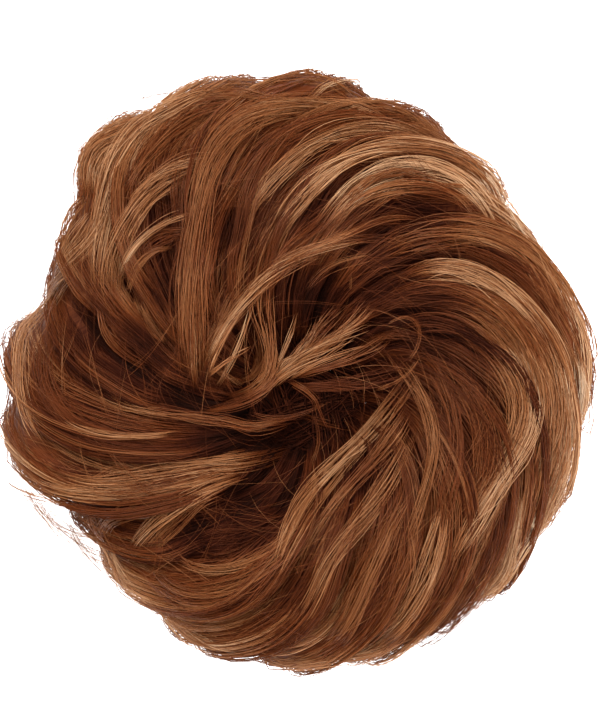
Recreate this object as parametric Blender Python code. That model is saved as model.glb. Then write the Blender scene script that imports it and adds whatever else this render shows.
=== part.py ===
# Messy top knot hairpiece: eighteen locks of false hair that swirl clockwise out of a
# centre hole, each wrapped round one elastic band, with a tuft of five short locks lying
# across the hole. It lies on its flat underside. Metres, +Z up, the swirl seen from above.

import math

import bmesh
import bpy
from mathutils import Matrix, Vector
from mathutils.bvhtree import BVHTree

MM = 0.001

# The hole stands off the middle of the whole outline, because the upper locks reach further.
HOLE_CENTRE = (1.34 * MM, -5.0 * MM)

# The elastic band that every lock is wrapped round
BAND_RADIUS = 27.0 * MM
BAND_HEIGHT = 15.0 * MM
BAND_THICK = 6.0 * MM
BAND_SIDES = 8
BAND_STEPS = 36
BAND_COLOUR = (0.03, 0.02, 0.017, 1.0)

# How the locks sit against each other and on the band
SEAT_GAP = 0.6 * MM
SIDE_GAP = 1.3 * MM
STEPS_PER_STATION = 2
HAIR_COLOUR = (0.20, 0.075, 0.030, 1.0)

# The path of a lock's outer face round the band, from its root inside the hole to its end
# under the ring, for a lock of the nominal reach and height.
# radius: from the hole's axis; height: above the table; reach: share of the lock's own extra
# reach; rise: share of its own extra height; valley: how far its sides drop below its middle.
NOMINAL_REACH = 72.0
NOMINAL_CREST = 52.0
STATIONS = [
    # name,      radius, height, reach, rise, valley
    ("root",       18.0,    5.0,   0.0,  0.0,    1.5),
    ("waist",      13.5,   18.0,   0.0,  0.0,    1.0),
    ("lip",        15.0,   34.0,   0.0,  0.3,    2.0),
    ("inner",      24.0,   45.0,   0.0,  0.7,    4.0),
    ("crest",      40.0,   52.0,   0.1,  1.0,    7.0),
    ("shoulder",   54.5,   48.5,   0.4,  1.0,    8.5),
    ("fall",       65.5,   38.0,   0.8,  0.6,    8.0),
    ("rim",        72.0,   22.5,   1.0,  0.2,    7.0),
    ("under",      66.5,    7.5,   0.9,  0.0,    5.0),
    ("tuck",       55.0,    0.0,   0.0,  0.0,    0.0),
    ("base",       40.0,    0.0,   0.0,  0.0,    0.0),
    ("end",        27.5,    1.5,   0.0,  0.0,    1.0),
]

# One row a lock, clockwise from the upper right. The first nine angles, in degrees, say where
# its middle line passes the stations, and fall from row to row; the last two are in millimetres.
LOCK_COLUMNS = ("root", "inner", "crest", "shoulder", "fall", "rim", "tuck", "reach", "height")
LOCKS = {
    "top_right_sweep":    (101,   92,   80,   70,   52,   34,   28,  70.5, 54.0),
    "right_outer_sweep":  ( 76,   70,   61,   48,   30,    5,   -2,  73.4, 51.0),
    "right_inner_sweep":  ( 60,   54,   42,   27,   -2,  -26,  -32,  70.5, 54.0),
    "right_middle_fall":  ( 43,   40,   24,    2,  -26,  -46,  -52,  71.0, 48.0),
    "right_low_fall":     ( 26,   23,    2,  -19,  -45,  -61,  -68,  69.5, 50.0),
    "low_right_fall":     (  5,   -1,  -25,  -45,  -63,  -76,  -84,  70.0, 52.0),
    "bottom_right_fall":  (-24,  -33,  -54,  -67,  -79,  -92, -100,  70.6, 50.0),
    "bottom_fall":        (-50,  -62,  -80,  -88,  -97, -110, -119,  70.0, 48.0),
    "bottom_sweep":       (-70,  -83,  -98, -107, -121, -135, -141,  67.0, 53.0),
    "bottom_left_curl":   (-90, -103, -116, -130, -144, -155, -160,  65.0, 44.0),
    "left_low_sweep":     (-113, -128, -142, -150, -160, -171, -178, 77.0, 48.0),
    "left_middle_sweep":  (-135, -151, -160, -168, -176, -187, -194, 76.0, 52.0),
    "left_upper_sweep":   (-155, -170, -179, -188, -196, -206, -213, 69.5, 47.0),
    "top_left_outer":     (-172, -184, -195, -205, -216, -234, -239, 83.5, 49.0),
    "top_left_sweep":     (-188, -197, -210, -221, -234, -253, -259, 82.0, 54.0),
    "top_inner_sweep":    (-204, -212, -229, -243, -257, -274, -280, 80.8, 55.0),
    "top_middle_sweep":   (-223, -231, -250, -263, -276, -293, -299, 76.5, 52.0),
    "top_outer_sweep":    (-241, -249, -266, -278, -293, -311, -317, 72.5, 55.0),
}

# Across a lock: place from one side (-1) to the other (1), and the share of the station's
# valley depth that the outer face lies below the lock's middle. The two dips are the folds
# that part a lock into three thick strands.
ACROSS = [
    (-1.0, 1.00),
    (-0.80, 0.42),
    (-0.52, 0.10),
    (-0.28, 0.26),
    (0.0, 0.00),
    (0.28, 0.26),
    (0.52, 0.10),
    (0.80, 0.42),
    (1.0, 1.00),
]

# The tuft that bridges the hole. Each of its locks is draped over all that lies below it, and
# sags to SAG_HEIGHT where nothing does.
SAG_HEIGHT = 39.0 * MM
TUFT_GAP = 0.5 * MM
# One row for each point of a tuft lock's middle line: x and y from the hole, full width and
# thickness, all in millimetres. The locks are laid down in this order.
TUFT = {
    "tuft_wisp": [
        # x,   y,   width, thick
        (-5.0, -3.0, 3.0, 2.5),
        (4.0, -1.0, 6.0, 3.5),
        (12.0, 2.0, 8.0, 4.0),
        (21.0, 5.0, 7.0, 3.5),
        (29.0, 7.0, 3.0, 2.5),
    ],
    "tuft_loop": [
        (-23.5, -6.0, 4.0, 3.0),
        (-16.5, -5.5, 7.5, 4.5),
        (-9.0, -2.0, 9.0, 5.5),
        (-5.0, 5.5, 9.0, 5.0),
        (-6.0, 14.0, 7.0, 4.0),
        (-7.0, 21.0, 3.5, 3.0),
    ],
    "tuft_sweep": [
        (-1.0, -2.0, 4.0, 3.0),
        (3.5, 4.5, 10.0, 5.0),
        (10.0, 11.0, 13.0, 6.0),
        (18.0, 18.0, 10.0, 5.0),
        (26.0, 25.0, 4.0, 3.0),
    ],
    "tuft_fan": [
        (-25.0, -1.0, 3.0, 2.5),
        (-20.5, 8.0, 7.0, 4.5),
        (-14.0, 17.0, 11.0, 5.5),
        (-5.5, 26.0, 12.0, 5.5),
        (4.0, 33.5, 9.0, 4.0),
        (13.0, 38.5, 4.0, 2.5),
    ],
    "tuft_spike": [
        (-29.5, 0.0, 2.5, 2.5),
        (-28.0, 10.0, 5.5, 3.5),
        (-26.5, 20.0, 8.0, 4.0),
        (-24.0, 28.0, 6.5, 3.5),
        (-21.5, 35.0, 3.0, 2.5),
    ],
}
TUFT_STEPS = 3
TUFT_SIDES = 8


def clear_scene():
    for obj in list(bpy.data.objects):
        bpy.data.objects.remove(obj)


def make_material(name, colour, roughness):
    material = bpy.data.materials.new(name)
    material.use_nodes = True
    shader = material.node_tree.nodes["Principled BSDF"]
    shader.inputs["Base Color"].default_value = colour
    shader.inputs["Roughness"].default_value = roughness
    shader.inputs["Metallic"].default_value = 0.0
    return material


def add_object(name, bm, material):
    """The mesh as one smooth-shaded object, with its faces pointing out."""
    bmesh.ops.recalc_face_normals(bm, faces=bm.faces)
    mesh = bpy.data.meshes.new(name)
    bm.to_mesh(mesh)
    bm.free()
    mesh.materials.append(material)
    mesh.shade_smooth()
    mesh.set_sharp_from_angle(angle=math.radians(75))
    obj = bpy.data.objects.new(name, mesh)
    bpy.context.scene.collection.objects.link(obj)
    return obj


def smooth_line(values, steps):
    """A smooth run through the values, with steps points from each one to the next."""
    run = []
    last = len(values) - 1
    for i in range(last):
        before, here = values[max(i - 1, 0)], values[i]
        there, after = values[i + 1], values[min(i + 2, last)]
        for k in range(steps):
            t = k / steps
            run.append(
                0.5 * (
                    2 * here
                    + (there - before) * t
                    + (2 * before - 5 * here + 4 * there - after) * t * t
                    + (3 * here - before - 3 * there + after) * t ** 3
                )
            )
    run.append(values[-1])
    return run


def loft(rings, turned=()):
    """A closed body through rings of points, one ring a section, capped at both ends. The
    strips that start at the turned places are split along their other diagonal."""
    bm = bmesh.new()
    loops = [[bm.verts.new(point) for point in ring] for ring in rings]
    for near, far in zip(loops, loops[1:]):
        for i in range(len(near)):
            j = (i + 1) % len(near)
            if i in turned:
                bm.faces.new((near[i], near[j], far[i]))
                bm.faces.new((near[j], far[j], far[i]))
            else:
                bm.faces.new((near[i], near[j], far[j]))
                bm.faces.new((near[i], far[j], far[i]))
    for loop in (loops[0], loops[-1]):
        middle = bm.verts.new(sum((v.co for v in loop), Vector()) / len(loop))
        for i in range(len(loop)):
            bm.faces.new((loop[i], loop[(i + 1) % len(loop)], middle))
    return bm


def station_angles(row):
    """A lock's middle line in degrees at every station, from the angles in its row."""
    at = dict(zip(LOCK_COLUMNS, row))
    drift = at["tuck"] - at["rim"]
    return [
        at["root"],
        at["root"],
        (at["root"] + at["inner"]) / 2,
        at["inner"],
        at["crest"],
        at["shoulder"],
        at["fall"],
        at["rim"],
        at["rim"] + 0.55 * drift,
        at["tuck"],
        at["tuck"] + 0.45 * drift,
        at["tuck"] + 0.8 * drift,
    ]


def ring_sections():
    """Every section's direction and depth out from the band's centre, for a nominal lock."""
    columns = [list(column) for column in zip(*STATIONS)][1:]
    sections = []
    for r, z, reach, rise, valley in zip(*(smooth_line(c, STEPS_PER_STATION) for c in columns)):
        out = Vector((r * MM - BAND_RADIUS, max(z, 0.0) * MM - BAND_HEIGHT))
        extra = [max(value, 0.0) for value in (reach, rise, valley * MM)]
        sections.append((out.normalized(), out.length, *extra))
    return sections


def lock_depth(row, section):
    """How far from the band's centre a lock's outer face lies at a section, in metres."""
    at = dict(zip(LOCK_COLUMNS, row))
    out, depth, reach, rise, _ = section
    depth += reach * (at["reach"] - NOMINAL_REACH) * MM * abs(out.x)
    depth += rise * (at["height"] - NOMINAL_CREST) * MM * abs(out.y)
    if out.y < 0:
        depth = min(depth, BAND_HEIGHT / -out.y)
    return depth


def neighbours(names):
    """Each lock's name with the names of the locks before and after it round the ring."""
    count = len(names)
    return [(name, names[i - 1], names[(i + 1) % count]) for i, name in enumerate(names)]


def lock_sides(names):
    """For each lock, the angles of its two sides at every section: halfway to its neighbours."""
    middles = {name: smooth_line(station_angles(LOCKS[name]), STEPS_PER_STATION) for name in names}
    sides = {}
    for name, before, after in neighbours(names):
        turn_before = 360.0 if name == names[0] else 0.0
        turn_after = -360.0 if name == names[-1] else 0.0
        sides[name] = [
            ((own + ahead + turn_before) / 2, (own + behind + turn_after) / 2)
            for own, ahead, behind in zip(middles[name], middles[before], middles[after])
        ]
    return sides


def lock_depths(names):
    """For each lock, its own depth and its neighbours' at every section."""
    sections = ring_sections()
    depths = {}
    for name, before, after in neighbours(names):
        depths[name] = [
            {
                "own": lock_depth(LOCKS[name], section),
                "before": lock_depth(LOCKS[before], section),
                "after": lock_depth(LOCKS[after], section),
            }
            for section in sections
        ]
    return depths


def on_ring(angle, radius, height):
    """The point at that angle round the hole, in radians."""
    return Vector((
        HOLE_CENTRE[0] + radius * math.cos(angle),
        HOLE_CENTRE[1] + radius * math.sin(angle),
        height,
    ))


def make_lock(name, sides, depths, material):
    """One lock: a wedge between its sides, from the band's skin out to the lock's outer face.
    Each side rises to the depth that the lock shares with its neighbour there."""
    core = BAND_THICK / 2 + SEAT_GAP
    rings = []
    for section, (left, right), deep in zip(ring_sections(), sides, depths):
        out, valley = section[0], section[-1]
        places = []
        for across, drop in ACROSS:
            own, shared = deep["own"], deep["before"] if across < 0 else deep["after"]
            edge = (own + shared) / 2 - valley
            places.append((across, own + (edge - own) * drop))
        places += [(across, core) for across in (1.0, 0.0, -1.0)]
        ring = []
        for across, rho in places:
            radius, height = BAND_RADIUS + out.x * rho, BAND_HEIGHT + out.y * rho
            ring.append(on_ring(side_angle(left, right, across, radius), radius, height))
        rings.append(ring)
    return add_object("lock_" + name, loft(rings, turned={len(ACROSS) + 2}), material)


def side_angle(left, right, across, radius):
    """The angle at a place across a lock, in radians, with half the gap kept at each side."""
    middle, half = math.radians((left + right) / 2), math.radians((left - right) / 2)
    half -= SIDE_GAP / 2 / radius
    return middle - across * half


def surface_tree(objects):
    """All the objects' faces in one tree, to look for the highest one under a point."""
    points, faces = [], []
    for obj in objects:
        first = len(points)
        points += [vertex.co.copy() for vertex in obj.data.vertices]
        faces += [[first + i for i in face.vertices] for face in obj.data.polygons]
    return BVHTree.FromPolygons(points, faces)


def height_below(tree, x, y):
    """Height of the highest surface at a point, or of the tuft's sag if that is higher."""
    hit = tree.ray_cast(Vector((x, y, 1.0)), Vector((0.0, 0.0, -1.0)))[0]
    return max(hit.z if hit else 0.0, SAG_HEIGHT)


def tuft_sections(rows):
    """Middle, sideways direction, half width and thickness of a tuft lock at every section."""
    runs = [smooth_line([value * MM for value in column], TUFT_STEPS) for column in zip(*rows)]
    points = [Vector((HOLE_CENTRE[0] + x, HOLE_CENTRE[1] + y)) for x, y in zip(*runs[:2])]
    sections = []
    for i, (point, width, thick) in enumerate(zip(points, *runs[2:])):
        ahead = points[min(i + 1, len(points) - 1)] - points[max(i - 1, 0)]
        side = Vector((-ahead.y, ahead.x)).normalized()
        sections.append((point, side, width / 2, thick))
    return sections


def make_tuft_lock(name, rows, below, material):
    """A short lock draped over the objects below: flat underneath, rounded above."""
    tree = surface_tree(below)
    sections = tuft_sections(rows)
    floors = []
    for point, side, half, _ in sections:
        spots = [point + side * half * share for share in (-1.0, -0.5, 0.0, 0.5, 1.0)]
        floors.append(max(height_below(tree, *spot) for spot in spots))
    last = len(floors) - 1
    floors = [(floors[max(i - 1, 0)] + z + floors[min(i + 1, last)]) / 3
              for i, z in enumerate(floors)]
    rings = []
    for (point, side, half, thick), floor in zip(sections, floors):
        ring = []
        for k in range(TUFT_SIDES):
            turn = 2 * math.pi * k / TUFT_SIDES
            spot = point + side * half * math.cos(turn)
            ring.append(spot.to_3d() + Vector((0, 0, floor + 0.5 * (1 + math.sin(turn)) * thick)))
        rings.append(ring)
    obj = add_object(name, loft(rings), material)
    settle(obj, tree, below)
    return obj


def settle(obj, tree, below):
    """Move the object up or down until it just clears what lies under it."""
    own = surface_tree([obj])
    up, down = Vector((0.0, 0.0, 1.0)), Vector((0.0, 0.0, -1.0))
    drops = []
    for vertex in obj.data.vertices:
        hit = tree.ray_cast(vertex.co + up, down)[0]
        if hit:
            drops.append(vertex.co.z - hit.z)
    for lower in below:
        for vertex in lower.data.vertices:
            hit = own.ray_cast(vertex.co - up, up)[0]
            if hit:
                drops.append(hit.z - vertex.co.z)
    obj.data.transform(Matrix.Translation(down * (min(drops) - TUFT_GAP)))


def make_band(material):
    """The elastic band: one plain ring, round in section."""
    bm = bmesh.new()
    half = BAND_THICK / 2
    section = [
        bm.verts.new((
            BAND_RADIUS + half * math.cos(2 * math.pi * k / BAND_SIDES),
            0.0,
            half * math.sin(2 * math.pi * k / BAND_SIDES),
        ))
        for k in range(BAND_SIDES)
    ]
    edges = [bm.edges.new((section[k - 1], section[k])) for k in range(BAND_SIDES)]
    bmesh.ops.spin(
        bm,
        geom=section + edges,
        axis=(0, 0, 1),
        cent=(0, 0, 0),
        angle=2 * math.pi,
        steps=BAND_STEPS,
        use_merge=True,
    )
    bmesh.ops.transform(
        bm,
        matrix=Matrix.Translation((*HOLE_CENTRE, BAND_HEIGHT)),
        verts=bm.verts,
    )
    return add_object("elastic_band", bm, material)


def main():
    clear_scene()
    hair = make_material("false_hair", HAIR_COLOUR, 0.42)
    elastic = make_material("elastic", BAND_COLOUR, 0.8)
    make_band(elastic)
    sides, depths = lock_sides(list(LOCKS)), lock_depths(list(LOCKS))
    placed = [make_lock(name, sides[name], depths[name], hair) for name in LOCKS]
    for name, rows in TUFT.items():
        placed.append(make_tuft_lock(name, rows, placed, hair))


main()
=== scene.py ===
# A messy top knot hairpiece. Each lock of the frame gets a core painted dark as shade and
# several hundred fibres, which Geometry Nodes grow along guide lines that follow the lock.
# Loose fibres, wisps and the tuft over the hole are grown by the same tree. Seen from above, +Y up.
import math
import random
import bmesh
import bpy
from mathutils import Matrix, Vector
from mathutils.bvhtree import BVHTree


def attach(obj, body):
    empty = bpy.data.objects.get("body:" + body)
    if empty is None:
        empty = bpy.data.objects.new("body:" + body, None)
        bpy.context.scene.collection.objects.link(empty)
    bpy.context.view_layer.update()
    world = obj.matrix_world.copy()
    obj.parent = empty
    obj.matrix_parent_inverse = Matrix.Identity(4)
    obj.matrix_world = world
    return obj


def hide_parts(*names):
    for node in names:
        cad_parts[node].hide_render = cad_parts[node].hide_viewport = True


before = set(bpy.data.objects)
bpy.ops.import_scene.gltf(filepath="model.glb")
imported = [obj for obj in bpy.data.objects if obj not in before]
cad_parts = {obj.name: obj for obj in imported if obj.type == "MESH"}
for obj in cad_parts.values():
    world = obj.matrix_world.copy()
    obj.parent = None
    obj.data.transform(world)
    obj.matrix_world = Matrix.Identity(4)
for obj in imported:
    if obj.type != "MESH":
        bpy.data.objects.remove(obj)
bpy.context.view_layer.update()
mm = 0.001
fullTurn = 6.28

# The ring that the locks wrap round, in millimetres
ring = {
    "holeX": 1.34,
    "holeY": -5.0,
    "bandRadius": 27.0,
    "bandHeight": 15.0,
    "usualReach": 72.0,
    "usualHeight": 52.0,
    "rimSink": 0.8,
    "finePerStation": 4,
}

# A lock's path round the band: radius and height of its face, its share of the lock's own
# extra reach and extra height, and how far its sides lie below its middle
stations = {
    "root": (18.0, 5.0, 0.0, 0.0, 1.5),
    "waist": (13.5, 18.0, 0.0, 0.0, 1.0),
    "lip": (15.0, 34.0, 0.0, 0.3, 2.0),
    "inner": (24.0, 45.0, 0.0, 0.7, 4.0),
    "crest": (40.0, 52.0, 0.1, 1.0, 7.0),
    "shoulder": (54.5, 48.5, 0.4, 1.0, 8.5),
    "fall": (65.5, 38.0, 0.8, 0.6, 8.0),
    "rim": (72.0, 22.5, 1.0, 0.2, 7.0),
    "under": (66.5, 7.5, 0.9, 0.0, 5.0),
    "tuck": (55.0, 0.0, 0.0, 0.0, 0.0),
    "base": (40.0, 0.0, 0.0, 0.0, 0.0),
    "end": (27.5, 1.5, 0.0, 0.0, 1.0),
}

# Clockwise from the upper right: the angles in degrees at which a lock's middle passes
# root, inner, crest, shoulder, fall, rim and tuck, then its reach and its height, then
# how light its fibres are, partly their own colour and partly painted light on the lower
# and right locks, where light comes round the rim
locks = {
    "top_right_sweep": (101, 92, 80, 70, 52, 34, 28, 70.5, 54.0, 0.62),
    "right_outer_sweep": (76, 70, 61, 48, 30, 5, -2, 73.4, 51.0, 0.52),
    "right_inner_sweep": (60, 54, 42, 27, -2, -26, -32, 70.5, 54.0, 0.60),
    "right_middle_fall": (43, 40, 24, 2, -26, -46, -52, 71.0, 48.0, 0.53),
    "right_low_fall": (26, 23, 2, -19, -45, -61, -68, 69.5, 50.0, 0.50),
    "low_right_fall": (5, -1, -25, -45, -63, -76, -84, 70.0, 52.0, 0.56),
    "bottom_right_fall": (-24, -33, -54, -67, -79, -92, -100, 70.6, 50.0, 0.58),
    "bottom_fall": (-50, -62, -80, -88, -97, -110, -119, 70.0, 48.0, 0.54),
    "bottom_sweep": (-70, -83, -98, -107, -121, -135, -141, 67.0, 53.0, 0.58),
    "bottom_left_curl": (-90, -103, -116, -130, -144, -155, -160, 65.0, 44.0, 0.44),
    "left_low_sweep": (-113, -128, -142, -150, -160, -171, -178, 77.0, 48.0, 0.53),
    "left_middle_sweep": (-135, -151, -160, -168, -176, -187, -194, 76.0, 52.0, 0.48),
    "left_upper_sweep": (-155, -170, -179, -188, -196, -206, -213, 69.5, 47.0, 0.42),
    "top_left_outer": (-172, -184, -195, -205, -216, -234, -239, 83.5, 49.0, 0.58),
    "top_left_sweep": (-188, -197, -210, -221, -234, -253, -259, 82.0, 54.0, 0.57),
    "top_inner_sweep": (-204, -212, -229, -243, -257, -274, -280, 80.8, 55.0, 0.50),
    "top_middle_sweep": (-223, -231, -250, -263, -276, -293, -299, 76.5, 52.0, 0.50),
    "top_outer_sweep": (-241, -249, -266, -278, -293, -311, -317, 72.5, 55.0, 0.56),
}


def smoothRun(values, steps):
    run, last = [], len(values) - 1
    for i in range(last):
        a, b = values[max(i - 1, 0)], values[i]
        c, d = values[i + 1], values[min(i + 2, last)]
        for k in range(steps):
            t = k / steps
            run.append(0.5 * (2 * b + (c - a) * t + (2 * a - 5 * b + 4 * c - d) * t * t
                              + (3 * b - a - 3 * c + d) * t ** 3))
    return run + [values[-1]]


def lockAngles(row):
    root, inner, crest, shoulder, fall, rim, tuck = row[:7]
    drift = tuck - rim
    return [root, root, (root + inner) / 2, inner, crest, shoulder, fall, rim,
            rim + 0.55 * drift, tuck, tuck + 0.45 * drift, tuck + 0.8 * drift]


def lockDepth(row, section):
    depth = section["depth"]
    depth += section["reach"] * (row[7] - ring["usualReach"]) * abs(section["out"].x)
    depth += section["rise"] * (row[8] - ring["usualHeight"]) * abs(section["out"].y)
    if section["out"].y < 0:
        depth = min(depth, ring["bandHeight"] / -section["out"].y)
    return depth


def makeLockMap():
    fine = ring["finePerStation"]
    sections = []
    columns = [smoothRun(run, fine) for run in zip(*stations.values())]
    for r, z, reach, rise, valley in zip(*columns):
        out = Vector((r - ring["bandRadius"], max(z, 0.0) - ring["bandHeight"]))
        sections.append({"out": out.normalized(), "depth": out.length, "reach": max(reach, 0.0),
                         "rise": max(rise, 0.0), "valley": max(valley, 0.0)})
    names = list(locks)
    middles = {name: smoothRun(lockAngles(locks[name]), fine) for name in names}
    lockMap = {}
    for i, name in enumerate(names):
        before, after = names[i - 1], names[(i + 1) % len(names)]
        turnBefore, turnAfter = 360.0 * (i == 0), -360.0 * (i == len(names) - 1)
        lockMap[name] = [
            {
                "outX": s["out"].x,
                "outZ": s["out"].y,
                "own": lockDepth(locks[name], s),
                "before": lockDepth(locks[before], s),
                "after": lockDepth(locks[after], s),
                "valley": s["valley"],
                "left": (middles[name][k] + middles[before][k] + turnBefore) / 2,
                "right": (middles[name][k] + middles[after][k] + turnAfter) / 2,
            }
            for k, s in enumerate(sections)
        ]
    return lockMap


# station runs from 0 at the root to 11 at the end, across from -1 to 1 on the lock's own
# face, and past that on to its neighbour's
def lockPoint(sections, station, across, lift):
    place = min(max(station * ring["finePerStation"], 0.0), len(sections) - 1.001)
    k, f = int(place), place - int(place)
    near, far = sections[k], sections[k + 1]
    s = {key: near[key] * (1 - f) + far[key] * f for key in near}
    beside = s["before"] if across < 0 else s["after"]
    edge = (s["own"] + beside) / 2 - s["valley"]
    top, off = (s["own"], abs(across)) if abs(across) < 1 else (beside, 2 - abs(across))
    depth = top + (edge - top) * max(off, 0.0) ** 2.4 + lift
    size = math.hypot(s["outX"], s["outZ"])
    radius = ring["bandRadius"] + s["outX"] / size * depth
    height = ring["bandHeight"] + s["outZ"] / size * depth
    angle = math.radians((s["left"] + s["right"]) / 2 - across * (s["left"] - s["right"]) / 2)
    return Vector((ring["holeX"] + radius * math.cos(angle),
                   ring["holeY"] + radius * math.sin(angle), height))


lockMap = makeLockMap()
print("lock map:", len(lockMap), "locks")

hairLook = {
    "roughness": 0.31,
    "roughnessOfDark": 0.88,
    "specular": 0.18,
    "specularTint": (1.0, 0.80, 0.64, 1.0),
    "streaks": 0.14,
    "streakScale": (5.0, 130.0, 1.0),  # along a fibre, and from fibre to fibre
    "paintedRimLight": 0.21,  # painted light: how much lighter the fibres are where light comes round the rim
    # painted shade deep in the hole and on the underside
    "shadeInHole": 0.22,
    "shadeUnder": 0.16,
    "underlayShade": 0.12,  # painted shade: how much darker the locks are than what lies over them
    "colours": [  # from the darkest fibres to the lightest
        (0.00, (0.009, 0.0012, 0.0003, 1)),
        (0.25, (0.046, 0.0066, 0.0015, 1)),
        (0.50, (0.150, 0.0345, 0.0088, 1)),
        (0.70, (0.330, 0.1270, 0.0460, 1)),
        (0.86, (0.610, 0.3450, 0.1800, 1)),
        (1.00, (0.880, 0.6800, 0.4800, 1)),
    ],
}


def addNode(tree, kind, inputs=None, **settings):
    node = tree.nodes.new(kind)
    for key, value in settings.items():
        setattr(node, key, value)
    for key, value in (inputs or {}).items():
        if isinstance(value, bpy.types.NodeSocket):
            tree.links.new(value, node.inputs[key])
        else:
            node.inputs[key].default_value = value
    return node


def makeHairMaterial():
    material = bpy.data.materials.new("falseHairFibre")
    material.use_nodes = True
    tree = material.node_tree
    shader = tree.nodes["Principled BSDF"]
    uv = addNode(tree, "ShaderNodeUVMap", uv_map="OFBake")
    parts = addNode(tree, "ShaderNodeSeparateXYZ", {0: uv.outputs[0]})
    stretch = addNode(tree, "ShaderNodeVectorMath", {0: uv.outputs[0], 1: hairLook["streakScale"]},
                      operation="MULTIPLY")
    streak = addNode(tree, "ShaderNodeTexNoise", {"Vector": stretch.outputs[0], "Scale": 1.0,
                                                  "Detail": 2.0}, noise_dimensions="2D")
    shift = addNode(tree, "ShaderNodeMapRange", {0: streak.outputs[0], 1: 0.25, 2: 0.75,
                                                 3: -hairLook["streaks"] / 2,
                                                 4: hairLook["streaks"] / 2})
    shade = addNode(tree, "ShaderNodeMath", {0: parts.outputs[1], 1: shift.outputs[0]},
                    operation="ADD")
    ramp = addNode(tree, "ShaderNodeValToRGB", {0: shade.outputs[0]})
    stops = ramp.color_ramp.elements
    while len(stops) < len(hairLook["colours"]):
        stops.new(0.5)
    for stop, (place, colour) in zip(stops, hairLook["colours"]):
        stop.position, stop.color = place, colour
    tree.links.new(ramp.outputs[0], shader.inputs["Base Color"])
    dull = addNode(tree, "ShaderNodeMapRange", {0: shade.outputs[0], 1: 0.15, 2: 0.55,
                                                3: hairLook["roughnessOfDark"],
                                                4: hairLook["roughness"]})
    rough = addNode(tree, "ShaderNodeMath", {0: dull.outputs[0], 1: shift.outputs[0]},
                    operation="ADD")
    tree.links.new(rough.outputs[0], shader.inputs["Roughness"])
    shader.inputs["Specular IOR Level"].default_value = hairLook["specular"]
    shader.inputs["Specular Tint"].default_value = hairLook["specularTint"]
    return material


fibreInputs = [
    ("Fibres", "NodeSocketInt", 50),
    ("Points", "NodeSocketInt", 20),
    ("Fibre Radius", "NodeSocketFloat", 0.00012),
    ("Twist", "NodeSocketFloat", 0.6),
    ("Crossing", "NodeSocketFloat", 0.5),
    ("Wander", "NodeSocketFloat", 0.0008),
    ("Wander Scale", "NodeSocketFloat", 3.0),
    ("Ragged Start", "NodeSocketFloat", 0.08),
    ("Ragged End", "NodeSocketFloat", 0.15),
    ("Tone Spread", "NodeSocketFloat", 0.2),
    ("Seed", "NodeSocketInt", 1),
    ("Material", "NodeSocketMaterial", None),
]


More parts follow.
